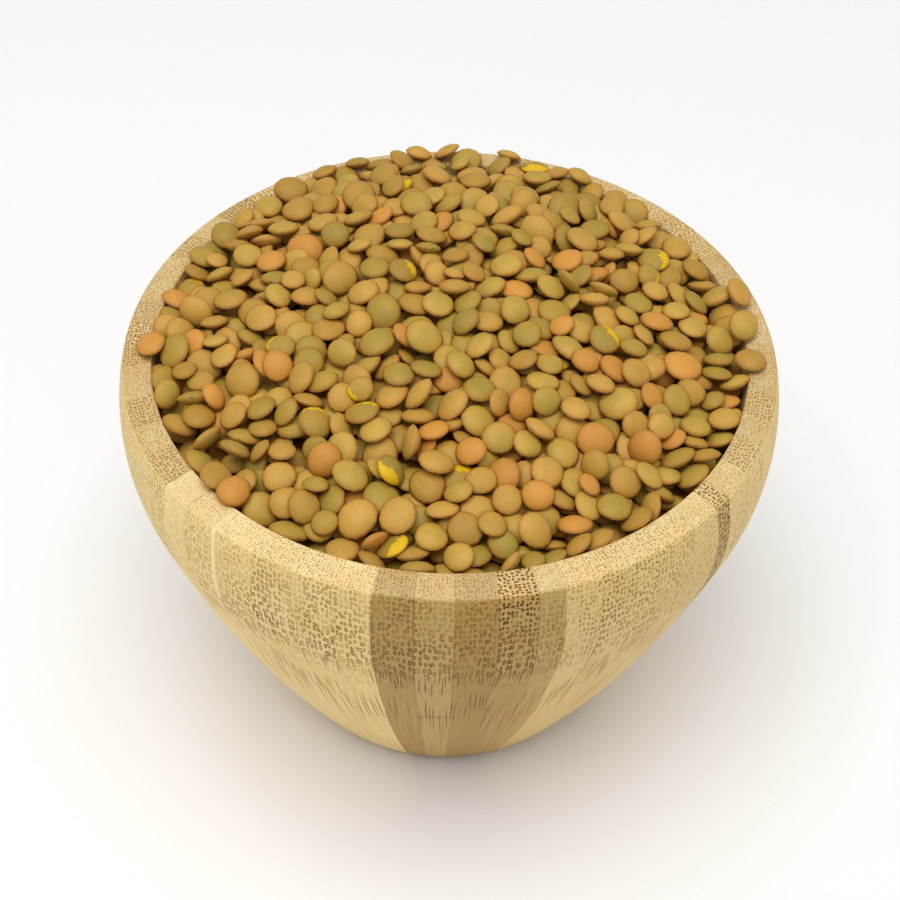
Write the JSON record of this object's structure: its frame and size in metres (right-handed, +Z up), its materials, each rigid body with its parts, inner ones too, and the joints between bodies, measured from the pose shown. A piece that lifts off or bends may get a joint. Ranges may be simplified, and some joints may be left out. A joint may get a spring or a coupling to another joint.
{
  "type": "bowl of dry lentils",
  "caption": "Round bamboo bowl with a flat foot and a thick flat rim, heaped with a low dome of dry lentils.",
  "frame": {"origin": "centre of the bowl's flat foot, on the surface it stands on", "axes": "+Z up along the bowl's turning axis; -Y is the front, where the heap is lowest in the mouth"},
  "size_m": [0.14, 0.14, 0.1096],
  "materials": {
    "bamboo": "sanded bamboo staves, lightly oiled",
    "lentils": "dry matte seed coats, from green-brown to ochre and orange-tan"
  },
  "bodies": {
    "root": {"bowl": "bamboo", "lentils": "lentils"}
  },
  "joints": []
}
